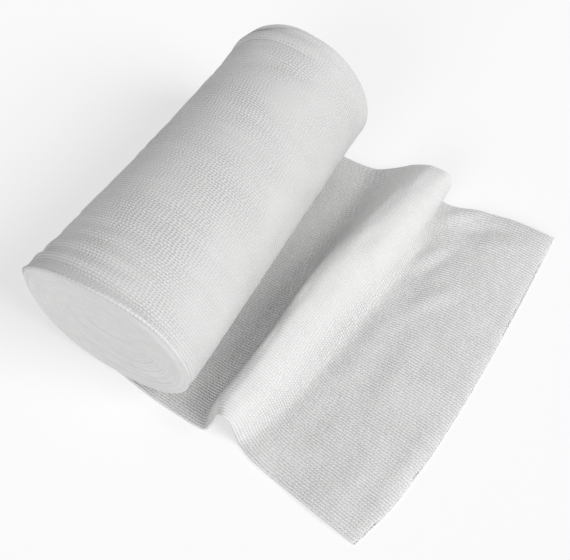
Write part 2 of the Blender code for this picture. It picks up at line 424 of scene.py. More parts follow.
def add_object(name: str, data: bpy.types.ID) -> bpy.types.Object:
    """Make an object of its data and link it to the scene."""
    made = bpy.data.objects.new(name, data)
    bpy.context.scene.collection.objects.link(made)
    return made


def fold_place(name: str) -> int:
    """Find a fold line's place among the rows of the loose end."""
    return [row[0] for row in FOLD_ROWS].index(name)


class SoftNoise:
    """Smooth, repeatable unevenness over a plane, between -1 and 1."""

    def __init__(self, seed: int, cells: int = 256) -> None:
        """Draw the values of a square of cells from one fixed seed."""
        self.cells = cells
        self.values = np.random.default_rng(seed).uniform(-1.0, 1.0, (cells, cells))

    def at(self, across: np.ndarray, along: np.ndarray) -> np.ndarray:
        """Read the unevenness.

        Args:
            across: First coordinate, in cells.
            along: Second coordinate, in cells.

        Returns:
            An array of the coordinates' common shape.
        """
        across, along = np.broadcast_arrays(across, along)
        low_a = np.floor(across).astype(int)
        low_b = np.floor(along).astype(int)
        part_a = across - low_a
        part_b = along - low_b
        fade_a = part_a**3 * (part_a * (part_a * 6.0 - 15.0) + 10.0)
        fade_b = part_b**3 * (part_b * (part_b * 6.0 - 15.0) + 10.0)
        total = np.zeros(across.shape)
        for step_a, share_a in ((0, 1.0 - fade_a), (1, fade_a)):
            for step_b, share_b in ((0, 1.0 - fade_b), (1, fade_b)):
                cell = self.values[(low_a + step_a) % self.cells, (low_b + step_b) % self.cells]
                total += share_a * share_b * cell
        return total


def crease_height(
    x: np.ndarray, y: np.ndarray, path: Sequence[tuple[float, float]], half_width: float, height: float
) -> np.ndarray:
    """Work out one soft ridge or trough over a plane.

    Args:
        x: First coordinates of the plane's points.
        y: Second coordinates of the plane's points.
        path: Points that the crease follows, smoothly where there are three.
        half_width: Distance from its line at which it has faded to a third.
        height: Its height, negative for a trough.

    Returns:
        What it adds at each point.
    """
    steps = np.linspace(0.0, len(path) - 1.0, CREASE_STEPS)
    line = spline_weights(list(range(len(path))), steps) @ np.asarray(path, float)
    share = np.sin(np.pi * np.linspace(CREASE_END, 1.0 - CREASE_END, CREASE_STEPS)) ** CREASE_FULLNESS
    nearest = np.full(np.shape(x), np.inf)
    strength = np.zeros(np.shape(x))
    for (start_x, start_y), (stop_x, stop_y), low, high in zip(line, line[1:], share, share[1:]):
        run_x = stop_x - start_x
        run_y = stop_y - start_y
        part = np.clip(((x - start_x) * run_x + (y - start_y) * run_y) / (run_x**2 + run_y**2), 0.0, 1.0)
        away = np.hypot(x - start_x - part * run_x, y - start_y - part * run_y)
        closer = away < nearest
        nearest = np.where(closer, away, nearest)
        strength = np.where(closer, low + (high - low) * part, strength)
    return height * strength * np.exp(-((nearest / half_width) ** 2))


class MeshDraft:
    """Points, faces and knit coordinates that become one mesh."""

    FAN_KNIT = ((0.0, 0.0), (0.3, 0.0), (0.15, 0.3))

    def __init__(self) -> None:
        """Start with nothing."""
        self.points: list[np.ndarray] = []
        self.faces: list[list[int]] = []
        self.knit: list[tuple[float, float]] = []
        self.finish: list[int] = []
        self.smooth: list[bool] = []
        self.count = 0

    def add_points(self, points: np.ndarray) -> np.ndarray:
        """Take in points.

        Args:
            points: An array whose last axis holds x, y and z.

        Returns:
            Their indices, in the shape of the other axes.
        """
        flat = points.reshape(-1, 3)
        index = np.arange(self.count, self.count + len(flat)).reshape(points.shape[:-1])
        self.points.append(flat)
        self.count += len(flat)
        return index

    def add_quads(
        self, index: np.ndarray, knit: np.ndarray, finish: int = CLOTH, smooth: bool = True
    ) -> None:
        """Join a grid of points with quads.

        Args:
            index: Point indices, rows by columns, where a closed strip repeats its first column.
            knit: Knit coordinates of the same grid, in wales and courses.
            finish: Index of the finish that the faces take.
            smooth: Whether the faces are shaded as one soft surface.
        """
        corners = (
            (slice(None, -1), slice(None, -1)),
            (slice(1, None), slice(None, -1)),
            (slice(1, None), slice(1, None)),
            (slice(None, -1), slice(1, None)),
        )
        quads = np.stack([index[corner].ravel() for corner in corners], axis=1)
        places = np.stack([knit[corner].reshape(-1, 2) for corner in corners], axis=1)
        self.faces.extend(quads.tolist())
        self.knit.extend(places.reshape(-1, 2).tolist())
        self.finish.extend([finish] * len(quads))
        self.smooth.extend([smooth] * len(quads))

    def add_fan(self, rim: Sequence[int], middle: int, finish: int) -> None:
        """Close a loop of points with triangles to one middle point."""
        for first, second in zip(rim, list(rim[1:]) + [rim[0]]):
            self.faces.append([int(first), int(second), int(middle)])
            self.knit.extend(self.FAN_KNIT)
            self.finish.append(finish)
            self.smooth.append(True)

    def build(self, name: str, finishes: Sequence[bpy.types.Material], shift: Vector) -> bpy.types.Object:
        """Make the object.

        Args:
            name: Name of the piece.
            finishes: Materials in the order of the finish indices.
            shift: Move from the roll's own measures into the frame.

        Returns:
            A linked object that sits at the origin.
        """
        points = np.concatenate(self.points) + np.array(shift)
        mesh = bpy.data.meshes.new(name)
        mesh.from_pydata(points.tolist(), [], self.faces)
        layer = mesh.uv_layers.new(name="knit")
        layer.data.foreach_set("uv", np.asarray(self.knit, np.float32).ravel())
        mesh.polygons.foreach_set("material_index", np.asarray(self.finish, np.int32))
        for material in finishes:
            mesh.materials.append(material)
        mesh.polygons.foreach_set("use_smooth", self.smooth)
        mesh.update()
        return add_object(name, mesh)


class NodeSheet:
    """A node tree with short calls for the nodes it needs."""

    def __init__(self, tree: bpy.types.NodeTree) -> None:
        """Take the tree to build in."""
        self.tree = tree

    def fill(self, node: bpy.types.Node, inputs: dict[str | int, object]) -> None:
        """Link each socket and set each value given for a node's inputs, by name or place."""
        for key, value in inputs.items():
            if isinstance(value, Socket):
                self.tree.links.new(value, node.inputs[key])
            else:
                node.inputs[key].default_value = value

    def node(self, kind: str, inputs: dict[str | int, object], **settings: object) -> bpy.types.Node:
        """Add a node.

        Args:
            kind: Blender's name of the node.
            inputs: A socket or a value for each input, by name or place.
            settings: Its properties, which are set first.

        Returns:
            The node.
        """
        made = self.tree.nodes.new(kind)
        for key, value in settings.items():
            setattr(made, key, value)
        self.fill(made, inputs)
        return made

    def math(self, operation: str, *values: Socket | float) -> Socket:
        """Add a Math node and return its result."""
        return self.node("ShaderNodeMath", dict(enumerate(values)), operation=operation).outputs[0]

    def noise(self, source: Socket, scale: float, detail: float) -> Socket:
        """Add a noise texture and return its value, around one half."""
        inputs = {"Scale": scale, "Detail": detail, "Vector": source}
        return self.node("ShaderNodeTexNoise", inputs).outputs["Fac"]

    def split(self, source: Socket) -> tuple[Socket, ...]:
        """Part a vector into its x, y and z."""
        return tuple(self.node("ShaderNodeSeparateXYZ", {0: source}).outputs)

    def mix(self, share: Socket, first: tuple[float, ...], second: tuple[float, ...]) -> Socket:
        """Mix two colours by a share and return the mixed colour."""
        inputs = {"A": (*first, 1.0), "B": (*second, 1.0), "Factor": share}
        return self.node("ShaderNodeMix", inputs, data_type="RGBA").outputs["Result"]


class MaterialSheet(NodeSheet):
    """A new material's node tree, with its Principled shader."""

    def __init__(self, name: str, inputs: dict[str | int, object]) -> None:
        """Start the material and set its shader's inputs."""
        self.material = bpy.data.materials.new(name)
        self.material.use_nodes = True
        super().__init__(self.material.node_tree)
        self.shader = self.tree.nodes["Principled BSDF"]
        self.fill(self.shader, inputs)


class Surface(Enum):
    """Which side of the folded tube a finish shows."""

    FACE = "face"
    FOLDED_EDGES = "folded_edges"


@dataclass(frozen=True)
class KnitFinish:
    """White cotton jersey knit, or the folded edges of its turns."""

    name: str
    surface: Surface

    # Colours on the yarn and in the gaps, the gaps' darker colour being painted shade, and how they catch
    # light
    light: tuple[float, float, float] = (0.735, 0.735, 0.732)
    dark: tuple[float, float, float] = (0.580, 0.580, 0.577)
    roughness: float = 0.90
    sheen: float = 0.20
    sheen_roughness: float = 0.5
    gloss: float = 0.2

    # Relief in metres, with the fuzz on it and the mottled tone
    bump_height: float = 0.00043
    bump_strength: float = 0.8
    fuzz_scale: float = 1900.0
    fuzz: float = 0.18
    mottle_scale: float = 90.0
    mottle: float = 0.18

    # Level and shares of the stitches' relief, how unevenly they lie, and the patches where they fade
    middle: float = 0.52
    groove: float = 0.36
    leg: float = 0.22
    grain_scale: float = 620.0
    grain: float = 0.35
    stagger: float = 0.55
    sway_scale: float = 170.0
    wale_sway: float = 0.7
    course_sway: float = 1.6
    patch_scale: float = 38.0
    patch_middle: float = 0.9
    patch_least: float = 0.25
    patchiness: float = 1.8

    # The folded edges
    ring_middle: float = 0.62
    ring_wave: float = -0.06
    ring_sway: float = 0.5

    # Heights in metres between which laid-out cloth's stitches fade on its raised fold and at its cut edge,
    # and how much darker its tone is painted up on the fold, where part of its painted brightening is taken
    # back
    laid_out: bool = False
    fold_low: float = 0.004
    fold_high: float = 0.018
    fold_share: float = 0.45
    fold_painted_dimming: float = 0.40
    edge_low: float = 0.00115
    edge_high: float = 0.00175
    edge_share: float = 0.15

    def material(self) -> bpy.types.Material:
        """Build the material.

        Returns:
            A material that reads the piece's knit coordinates.
        """
        inputs = {
            "Roughness": self.roughness,
            "Sheen Weight": self.sheen,
            "Sheen Roughness": self.sheen_roughness,
            "Specular IOR Level": self.gloss,
        }
        sheet = MaterialSheet(self.name, inputs)
        wale, course, _ = sheet.split(sheet.node("ShaderNodeUVMap", {}, uv_map="knit").outputs["UV"])
        place = sheet.node("ShaderNodeTexCoord", {}).outputs["Object"]
        if self.surface is Surface.FOLDED_EDGES:
            height = self.ring_height(sheet, wale, place)
        else:
            height = self.stitch_height(sheet, wale, course, place)
        mottle = sheet.math("MULTIPLY", sheet.noise(place, self.mottle_scale, detail=3.0), self.mottle)
        # The colour follows the relief, darker in the stitches' gaps and where the turns' folded edges meet:
        # painted shade in these small recesses, with the mottle's random tone on top
        tone = sheet.math("MULTIPLY_ADD", height, 1.0 - self.mottle, mottle)
        fuzz = sheet.noise(place, self.fuzz_scale, detail=2.0)
        relief = sheet.math("MULTIPLY_ADD", fuzz, self.fuzz, height)
        bump = {"Strength": self.bump_strength, "Distance": self.bump_height, "Height": relief}
        normal = sheet.node("ShaderNodeBump", bump).outputs["Normal"]
        colour = sheet.mix(tone, self.dark, self.light)
        sheet.fill(sheet.shader, {"Base Color": colour, "Normal": normal})
        return sheet.material

    def sway(self, sheet: NodeSheet, place: Socket) -> Socket:
        """Build the soft unevenness that bends the rows of stitches, around zero."""
        return sheet.math("SUBTRACT", sheet.noise(place, self.sway_scale, detail=2.0), 0.5)

    def ring_height(self, sheet: NodeSheet, ring: Socket, place: Socket) -> Socket:
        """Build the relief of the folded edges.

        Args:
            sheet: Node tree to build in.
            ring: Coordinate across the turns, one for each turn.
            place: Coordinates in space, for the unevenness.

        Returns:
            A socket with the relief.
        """
        wave = sheet.math("COSINE", sheet.math("MULTIPLY", ring, 2.0 * math.pi))
        even = sheet.math("MULTIPLY_ADD", wave, self.ring_wave, self.ring_middle)
        return sheet.math("MULTIPLY_ADD", self.sway(sheet, place), self.ring_sway, even)

    def stitch_height(self, sheet: NodeSheet, wale: Socket, course: Socket, place: Socket) -> Socket:
        """Build the relief of the stitches, low in the gaps and high on the yarn.

        Args:
            sheet: Node tree to build in.
            wale: Coordinate across the wales, one for each wale.
            course: Coordinate along the wales, one for each course.
            place: Coordinates in space, for the unevenness of the stitches.

        Returns:
            A socket with the relief.
        """
        sway = self.sway(sheet, place)
        wale_place = sheet.math("MULTIPLY_ADD", sway, self.wale_sway, wale)
        wale_number = sheet.math("FLOOR", wale_place)
        own_wale = sheet.node("ShaderNodeTexWhiteNoise", {"W": wale_number}, noise_dimensions="1D")
        swayed = sheet.math("MULTIPLY", sway, self.course_sway)
        offset = sheet.math("MULTIPLY_ADD", own_wale.outputs["Value"], self.stagger, swayed)
        across = sheet.math("ABSOLUTE", sheet.math("SUBTRACT", sheet.math("FRACT", wale_place), 0.5))
        leg_place = sheet.math("ADD", across, sheet.math("ADD", course, offset))
        leg = sheet.math("COSINE", sheet.math("MULTIPLY", leg_place, 2.0 * math.pi))
        groove = sheet.math("COSINE", sheet.math("MULTIPLY", across, 2.0 * math.pi))
        stitch = sheet.math("MULTIPLY_ADD", leg, self.leg, sheet.math("MULTIPLY", groove, self.groove))
        grain = sheet.math("SUBTRACT", sheet.noise(place, self.grain_scale, detail=1.0), 0.5)
        stitch = sheet.math("MULTIPLY_ADD", grain, self.grain, stitch)
        patches = sheet.noise(place, self.patch_scale, detail=1.0)
        level = self.patch_middle - 0.5 * self.patchiness
        shown = sheet.math("MULTIPLY_ADD", patches, self.patchiness, level)
        shown = sheet.math("MAXIMUM", shown, self.patch_least)
        if not self.laid_out:
            return sheet.math("MULTIPLY_ADD", stitch, shown, self.middle)
        fold = self.by_height(sheet, place, (self.fold_low, 1.0), (self.fold_high, self.fold_share))
        edge = self.by_height(sheet, place, (self.edge_low, self.edge_share), (self.edge_high, 1.0))
        shown = sheet.math("MULTIPLY", shown, sheet.math("MULTIPLY", fold, edge))
        # Up on the raised fold the tone is painted darker, taking back part of the laid-out cloth's painted
        # brightening
        middle = sheet.math("MULTIPLY_ADD", fold, self.fold_painted_dimming, self.middle - self.fold_painted_dimming)
        return sheet.math("MULTIPLY_ADD", stitch, shown, middle)

    def by_height(
        self, sheet: NodeSheet, place: Socket, low: tuple[float, float], high: tuple[float, float]
    ) -> Socket:
        """Let a value change smoothly with the height above the surface.

        Args:
            sheet: Node tree to build in.
            place: Coordinates in space.
            low: Height below which the value stays as it is, and that value.
            high: Height above which the value stays as it is, and that value.

        Returns:
            A socket with the value.
        """
        inputs = dict(zip(("From Min", "To Min", "From Max", "To Max"), (*low, *high)))
        inputs["Value"] = sheet.split(place)[2]
        return sheet.node("ShaderNodeMapRange", inputs, interpolation_type="SMOOTHSTEP").outputs["Result"]


@dataclass(frozen=True)
class EndShape:
    """What sets one end of the roll apart from the other, with its plane and the way it faces along y."""

    outward: float
    plane: float
    reach: Sequence[tuple[float, float]]
    inset: Sequence[tuple[float, float]]
    rounding: Sequence[tuple[float, float]]
    edge_seed: int
    ring_seed: int


class RollEnd(Enum):
    """The two ends of the roll."""

    NEAR = EndShape(-1.0, 0.0000, NEAR_REACH, NEAR_INSET, NEAR_ROUNDING, edge_seed=11, ring_seed=21)
    FAR = EndShape(1.0, 0.2010, FAR_REACH, FAR_INSET, FAR_ROUNDING, edge_seed=12, ring_seed=22)


@dataclass
class WoundRoll:
    """The wound body with its last turn's skin and all its turns' edges at both ends."""

    # Points round the roll, along its skin and across a turn, and its main sizes
    around: int = 144
    skin_rows: int = 240
    crowding: float = 0.55
    turns: int = 46
    samples: int = 4
    girth: float = 0.305
    outer_radius: float = 0.048
    seam_fade: float = 0.08
    core_depth: float = 0.047
    core_half_width: float = 0.0105
    core_half_height: float = 0.0016

    # How each turn's edge is rounded and wanders, and how far the knit runs from ring to ring at the rim
    rim_power: float = 2.2
    rim_row: float = 0.001
    lap_start: float = 0.8
    lap_rounding: float = 0.00015
    edge_relief: float = 0.00013
    edge_wander: float = 0.00022
    wander_start: float = 2.0
    wander_place: tuple[float, float] = (2.3, 0.37)

    # The bare strip of a turn that reaches past the one outside it
    full_step: float = 0.002
    tuck: float = 0.0002
    strip_share: float = 0.6
    strip_most: float = 0.0015
    bulge: float = 0.0006
    bulge_profile: tuple[float, ...] = (-0.3, 1.0, 0.5)

    # Where the turns wobble, and where the skin is most uneven
    wobble_depth: float = 0.010
    wobble_clearance: float = 0.004
    wobble_width: float = 0.016
    wobble_least: float = 0.3
    wobble_row: float = 3.0
    least_length: float = 1e-6
    left_turn: float = 0.58
    left_spread: float = 0.20

    def point(self, turn: np.ndarray, y: np.ndarray, depth: np.ndarray) -> np.ndarray:
        """Find points of the wound body.

        Args:
            turn: Place round the roll, 0 and 1 at the seam below, 0.5 over the top.
            y: Place along the axis.
            depth: Depth below the outermost radius, where the last turn leaves.

        Returns:
            Points, with x, y and z on the last axis.
        """
        rows = read_table(ROLL_ROWS, y)
        left, right, half_height = rows[..., 0], rows[..., 1], rows[..., 2]
        middle_x = 0.5 * (right - left)
        half_width = 0.5 * (right + left)
        seam = np.arcsin((SEAM_X - middle_x) / half_width)
        angle = 2.0 * np.pi * turn - 0.5 * np.pi + seam
        inward = depth / self.core_depth
        wide = (half_width + 0.5 * TURN_STEP) * (1.0 - inward) + self.core_half_width * inward
        high = (half_height + 0.5 * TURN_STEP) * (1.0 - inward) + self.core_half_height * inward
        flat = FLAT_HALF_WIDTH / half_width
        sunk = half_height * (1.0 - np.sqrt(1.0 - flat * flat))
        centre_z = half_height + 0.5 * TURN_STEP - sunk
        faded = np.clip((depth - TURN_STEP) / FLAT_FADE_DEPTH, 0.0, 1.0)
        floor = np.maximum(depth, 0.0) - sunk * faded
        z = np.maximum(centre_z + high * np.sin(angle), floor)
        return np.stack([middle_x + wide * np.cos(angle), y + 0.0 * z, z], axis=-1)

    def layer_depth(self, count: np.ndarray) -> np.ndarray:
        """Give the depth of a layer's outer side by turns counted back from the last one."""
        return np.where(count > 0.0, TURN_STEP * (1.0 - count), TURN_STEP - INNER_PITCH * count)

    def edge_reach(self, end: RollEnd, count: np.ndarray) -> np.ndarray:
        """Give how far a turn's edge reaches out of its end, with its small wander."""
        inner = np.clip(-count / self.wander_start, 0.0, 1.0)
        cells, row = self.wander_place
        wander = SoftNoise(end.value.edge_seed).at(cells * count, np.full(np.shape(count), row))
        return MM * read_table(end.value.reach, count) + self.edge_wander * inner * wander

    def end_place(
        self, end: RollEnd, layer: np.ndarray, sample: np.ndarray, turn: np.ndarray
    ) -> tuple[np.ndarray, np.ndarray]:
        """Place the edge of each turn at one end.

        Args:
            end: Which end of the roll.
            layer: Turns below the last one.
            sample: Place across the turn's thickness, in samples.
            turn: Place round the roll.

        Returns:
            Depth below the outermost radius, and y.
        """
        count = turn - layer
        outer_depth = self.layer_depth(count)
        thickness = self.layer_depth(count - 1.0) - outer_depth
        reach = self.edge_reach(end, count)
        exposed = np.where(layer > 0, reach - self.edge_reach(end, np.minimum(count + 1.0, 1.0)), 0.0)
        stepped = np.clip(exposed / self.full_step, 0.0, 1.0)
        share = sample / self.samples
        rim = MM * read_table(end.value.rounding, turn)
        lap = np.where(count > self.lap_start, rim, self.lap_rounding)
        last_turn = np.where(share < 0.5, rim, lap)
        rim_edge = np.abs(1.0 - 2.0 * share) ** self.rim_power
        edge = np.where(layer == 0, rim_edge, (1.0 - np.sin(np.pi * share)) ** 2)
        rounding = np.where(layer == 0, last_turn, self.edge_relief) * edge
        bare = np.minimum(self.strip_share * exposed, self.strip_most)
        strip = np.select([sample == 0, sample == 1], [exposed + self.tuck, bare], 0.0)
        back = rounding * (1.0 - stepped * (sample < 2)) + stepped * strip
        places = [sample == place for place in range(len(self.bulge_profile))]
        lift = stepped * self.bulge * np.select(places, self.bulge_profile, 0.0)
        depth = outer_depth + thickness * share - lift
        inset = MM * read_table(end.value.inset, np.maximum(depth, 0.0) / MM)
        return depth, end.value.plane + end.value.outward * (reach - back - inset)

    def ring_points(
        self, end: RollEnd, layer: np.ndarray, sample: np.ndarray, turn: np.ndarray
    ) -> np.ndarray:
        """Place points of an end's rings, with the gentle wobble of turns that aren't quite round.

        Args:
            end: Which end of the roll.
            layer: Turns below the last one.
            sample: Place across the turn's thickness, in samples.
            turn: Place round the roll.

        Returns:
            Points, with x, y and z on the last axis.
        """
        depth, y = self.end_place(end, layer, sample, turn)
        points = self.point(turn, y, depth)
        noise = SoftNoise(end.value.ring_seed)
        inner = np.clip(depth / self.wobble_depth, 0.0, 1.0)
        inner = inner * np.clip((points[..., 2] - depth) / self.wobble_clearance, 0.0, 1.0)
        wobble = np.zeros(np.shape(depth))
        for _, height, middle, reach, phase, change in RING_WOBBLE:
            place = middle + reach * np.sin(2.0 * np.pi * (turn + phase))
            wobble += MM * height * inner * noise.at(place, self.wobble_row + depth / (MM * change))
        outward = points - self.point(turn + 0.5, y, depth)
        length = np.maximum(np.linalg.norm(outward, axis=-1, keepdims=True), self.least_length)
        wobble *= np.clip(length[..., 0] / self.wobble_width - self.wobble_least, 0.0, 1.0)
        return points + wobble[..., None] * outward / length

    def skin_relief(self, turn: np.ndarray, y: np.ndarray, from_rim: np.ndarray) -> np.ndarray:
        """Give the outward relief of the skin: small waves, creases that run round the roll, and its rim.

        Args:
            turn: Place round the roll.
            y: Place along the axis.
            from_rim: Distance along the axis from the near rim.

        Returns:
            Heights above the even skin.
        """
        arc = turn * self.girth
        left_side = np.exp(-(((turn - self.left_turn) / self.left_spread) ** 2))
        relief = MM * read_table(NEAR_FLARE, turn) * np.exp(-from_rim / FLARE_LENGTH)
        for _, seed, height, even, round_cell, axis_cell in SKIN_WAVES:
            wave = SoftNoise(seed).at(arc / (MM * round_cell), y / (MM * axis_cell))
            relief = relief + MM * height * (even + (1.0 - even) * left_side) * wave
        for _, start, stop, half_width, height in SKIN_CREASES:
            path = [(place[0] * self.girth / MM, place[1]) for place in (start, stop)]
            relief = relief + MM * crease_height(arc / MM, y / MM, path, half_width, height)
        return relief * np.clip(np.minimum(turn, 1.0 - turn) / self.seam_fade, 0.0, 1.0)

    def build(self, finishes: Sequence[bpy.types.Material], shift: Vector) -> bpy.types.Object:
        """Build the wound body as one closed mesh.

        Args:
            finishes: The knit face's material, then the folded edges' material.
            shift: Move from the roll's own measures into the frame.

        Returns:
            The piece.
        """
        draft = MeshDraft()
        turn = np.concatenate([np.arange(self.around + 1) / self.around, np.ones(self.samples - 1)])
        sample = np.concatenate([np.zeros(self.around + 1), np.arange(1, self.samples)])
        layer = np.zeros(len(turn))
        near_depth, near_y = self.end_place(RollEnd.NEAR, layer, sample, turn)
        _, far_y = self.end_place(RollEnd.FAR, layer, sample, turn)
        even = np.linspace(0.0, 1.0, self.skin_rows)[:, None]
        along = even - self.crowding * np.sin(2.0 * np.pi * even) / (2.0 * np.pi)
        skin_y = near_y + (far_y - near_y) * along
        relief = self.skin_relief(turn[None, :] + 0.0 * skin_y, skin_y, skin_y - near_y) * (sample == 0)
        skin = draft.add_points(self.point(turn + 0.0 * skin_y, skin_y, near_depth - relief))
        closed = np.concatenate([skin, skin[:, :1]], axis=1)
        knit = np.stack(
            [
                skin_y / TUBE_WIDTH * WALES_ACROSS,
                (turn * self.girth - COURSE_SKEW * skin_y) / COURSE_PITCH,
            ],
            axis=-1,
        )
        knit = np.concatenate([knit, knit[:, -1:]], axis=1)
        draft.add_quads(closed, knit)
        self.add_end(draft, RollEnd.NEAR, skin[0])
        self.add_end(draft, RollEnd.FAR, skin[-1])
        return draft.build("wound_cloth", finishes, shift)

    def add_end(self, draft: MeshDraft, end: RollEnd, rim: np.ndarray) -> None:
        """Add the spiral of the turns' edges at one end.

        Args:
            draft: Mesh to add to.
            end: Which end of the roll.
            rim: The skin's ring at that end: round the roll, then down the seam.
        """
        rings = self.turns * self.samples
        ring = np.arange(1, rings)[:, None]
        turn = (np.arange(self.around) / self.around)[None, :]
        layer = (ring // self.samples) + 0.0 * turn
        sample = (ring % self.samples) + 0.0 * turn
        inner = draft.add_points(self.ring_points(end, layer, sample, turn + 0.0 * layer))
        index = np.zeros((rings, self.around + 1), int)
        index[0] = rim[: self.around + 1]
        index[1:, : self.around] = inner
        index[1 : self.samples, self.around] = rim[self.around + 1 :]
        index[self.samples :, self.around] = index[: rings - self.samples, 0]
        all_turns = (np.arange(self.around + 1) / self.around)[None, :] + np.zeros((rings, 1))
        across = np.arange(rings)[:, None] / self.samples + 0.0 * all_turns
        radius = self.outer_radius - INNER_PITCH * across
        packed = np.stack([across, (all_turns * 2.0 * np.pi * radius) / COURSE_PITCH], axis=-1)
        rim_y = end.value.plane + end.value.outward * self.rim_row * np.arange(rings)[:, None]
        wales = rim_y / TUBE_WIDTH * WALES_ACROSS + 0.0 * all_turns
        skin = np.stack([wales, all_turns * self.girth / COURSE_PITCH], axis=-1)
        order = int(end.value.outward)
        rim_rows = self.samples // 2 + 1
        draft.add_quads(index[:rim_rows][::order], skin[:rim_rows][::order])
        draft.add_quads(index[rim_rows - 1 :][::order], packed[rim_rows - 1 :][::order], EDGE)
        seam = index[rings - self.samples : rings - 1, 0]
        loop = np.concatenate([index[-1], seam])[::-order]
        centre = np.mean(np.concatenate(draft.points)[loop], axis=0)
        middle = draft.add_points(centre[None, :])
        draft.add_fan(loop, int(middle[0]), EDGE)


@dataclass
class LooseEnd:
    """The loose end: the flattened tube with its two walls, folded long edges and open cut end."""

    # Points along and across the sheet and round its edges
    stations: int = 146
    end_stations: int = 5
    inner_columns: int = 126
    edge_steps: int = 5
    reading_steps: int = 1201
    measured_columns: int = 41

    # Lengths in metres of the last stations and of the closing, and the shares by which the walls close
    end_band: float = 0.0045
    closing_length: float = 0.0035
    outer_closing: float = 0.35
    inner_closing: float = 0.94

    # Heights and widths in millimetres, and places counted in fold rows
    air: float = 0.9
    rim_width: float = 3.2
    floor_gap: float = 0.15
    flat_lead: float = 0.5
    flat_run: float = 1.5
    ridge_reach: float = 4.0
    ridge_bulk: float = 0.5
    ridge_cells: tuple[float, float] = (1.3, 17.0)
    ridge_seed: int = 43

    def along(self) -> np.ndarray:
        """Spread the stations evenly by length along the middle of the sheet."""
        fine = np.linspace(0.0, len(FOLD_ROWS) - 1.0, self.reading_steps)
        weights = spline_weights(list(range(len(FOLD_ROWS))), fine)
        column = 1 + [name for name, _ in FOLD_COLUMNS].index("middle")
        line = weights @ np.array([row[column] for row in FOLD_ROWS])
        length = np.concatenate([[0.0], np.cumsum(np.linalg.norm(np.diff(line, axis=0), axis=1))])
        bend = length[-1] - self.end_band
        even = np.linspace(0.0, bend, self.stations - self.end_stations)
        close = np.linspace(bend, length[-1], self.end_stations + 1)[1:]
        return np.interp(np.concatenate([even, close]), length, fine)

    def middle_surface(self, along: np.ndarray, share: np.ndarray) -> np.ndarray:
        """Find the sheet's middle surface.

        Args:
            along: Places along the fold rows, one for each station.
            share: Places across the width, from 0 at the near edge to 1 at the far one.

        Returns:
            Points, stations by places across, in metres.
        """
        row_weights = spline_weights(list(range(len(FOLD_ROWS))), along)
        column_weights = spline_weights([share_of for _, share_of in FOLD_COLUMNS], share)
        cells = np.array([row[1:] for row in FOLD_ROWS])
        x = row_weights @ cells[..., 0] @ column_weights.T
        z = row_weights @ cells[..., 1] @ column_weights.T
        ends = row_weights @ np.array([FOLD_ENDS[row[0]] for row in FOLD_ROWS])
        y = ends[:, :1] + (ends[:, 1:] - ends[:, :1]) * share[None, :]
        past_fold = along - fold_place("right_foot") + self.flat_lead
        flat = np.clip(past_fold / self.flat_run, 0.0, 1.0)[:, None]
        lift = np.zeros(x.shape)
        for _, *path, half_width, height in FLAT_CREASES:
            lift += crease_height(x, y, path, half_width, height)
        for _, seed, height, x_cell, y_cell in FLAT_WAVES:
            lift += height * SoftNoise(seed).at(x / x_cell, y / y_cell)
        from_end = x[-1:] - x
        from_edge = TUBE_WIDTH / MM * np.minimum(share, 1.0 - share)[None, :]
        lift += self.air * np.tanh(from_end / self.rim_width) * np.tanh(from_edge / self.rim_width)
        ridge = np.clip(1.0 - np.abs(along - fold_place("crest")) / self.ridge_reach, 0.0, 1.0)[:, None]
        cells_along, cell_across = self.ridge_cells
        bulk = SoftNoise(self.ridge_seed).at(along[:, None] * cells_along + 0.0 * y, y / cell_across)
        z = z + flat * lift + ridge * self.ridge_bulk * bulk
        z = np.maximum(z, 0.5 * SHEET_THICKNESS / MM + self.floor_gap)
        return MM * np.stack([x, y, z], axis=-1)

    def widths(self) -> tuple[np.ndarray, np.ndarray, np.ndarray, np.ndarray]:
        """Spread the columns across the sheet, close together round its folded edges.

        Returns:
            Shares and half thicknesses of the outer wall's surface, then of the inner one's.
        """
        outer = 0.5 * SHEET_THICKNESS
        inner = outer - WALL_THICKNESS
        turn = np.linspace(0.0, 0.5 * np.pi, self.edge_steps + 1)
        even = np.linspace(outer, TUBE_WIDTH - outer, self.inner_columns)[1:-1]
        tables = []
        for radius in (outer, inner):
            low = outer - radius * np.cos(turn)
            place = np.concatenate([low, even, TUBE_WIDTH - low[::-1]])
            rise = radius * np.sin(turn)
            half = np.concatenate([rise, np.full(len(even), radius), rise[::-1]])
            tables += [place / TUBE_WIDTH, half]
        return tables[0], tables[1], tables[2], tables[3]

    def walls(self, along: np.ndarray, share: np.ndarray, half: np.ndarray, closing: float) -> np.ndarray:
        """Find the loop of points round the tube at each station.

        Args:
            along: Places along the fold rows.
            share: Places across the width.
            half: Half the thickness at each place across.
            closing: Share of that half thickness that is gone at the cut end, where the walls meet.

        Returns:
            Points, stations by places round the tube: the upper wall out, then the lower wall back.
        """
        middle = self.middle_surface(along, share)
        from_end = np.linalg.norm(middle[:, len(share) // 2] - middle[-1, len(share) // 2], axis=-1)
        near_end = np.exp(-from_end / self.closing_length)
        kept = 1.0 - closing * near_end
        down = np.gradient(middle, axis=0)
        across = np.gradient(middle, axis=1)
        normal = np.cross(down, across)
        normal /= np.linalg.norm(normal, axis=-1, keepdims=True)
        middle[..., 2] -= (self.outer_closing * near_end * 0.5 * SHEET_THICKNESS)[:, None]
        offset = kept[:, None, None] * half[None, :, None] * normal
        upper = middle + offset
        lower = middle - offset
        return np.concatenate([upper, lower[:, -2:0:-1]], axis=1)

